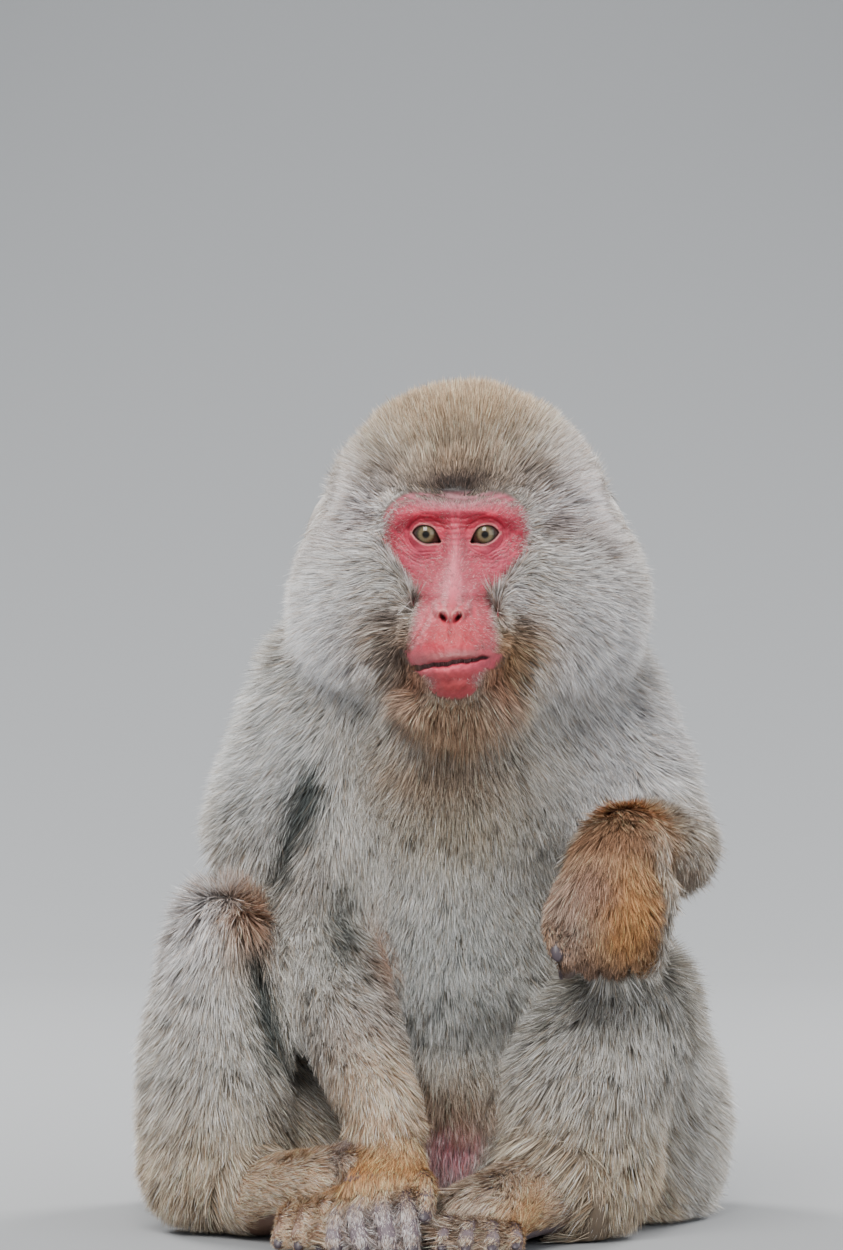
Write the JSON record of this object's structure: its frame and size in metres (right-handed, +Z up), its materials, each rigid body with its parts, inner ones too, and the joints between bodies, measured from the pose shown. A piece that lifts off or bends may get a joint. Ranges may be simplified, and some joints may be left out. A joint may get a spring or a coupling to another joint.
{
  "type": "sitting macaque figure",
  "caption": "Life-size still macaque in a thick coat, sitting upright with its knees up, one hand laid over a foot and the other hanging over a knee.",
  "frame": {"origin": "on the floor, at the middle of the flat underside of the hips", "axes": "+Z up, -Y forwards, the way the animal faces, and +X to the animal's left"},
  "size_m": [0.3735, 0.4367, 0.5169],
  "materials": {
    "crown": "dense grey-brown hair",
    "mane": "long pale grey hair",
    "coat": "long grey-brown hair",
    "paw": "short tawny hair over grey skin",
    "ear": "bare pink skin",
    "eye": "wet, grey-beige iris"
  },
  "bodies": {
    "root": {"belly": "coat", "chest": "coat", "head": "crown", "hips": "coat", "left_ear": "ear", "left_eye": "eye", "left_foot": "paw", "left_forearm": "coat", "left_hand": "paw", "left_shin": "coat", "left_thigh": "coat", "left_upper_arm": "coat", "neck": "mane", "right_ear": "ear", "right_eye": "eye", "right_foot": "paw", "right_forearm": "coat", "right_hand": "paw", "right_shin": "coat", "right_thigh": "coat", "right_upper_arm": "coat", "tail": "coat"}
  },
  "joints": []
}
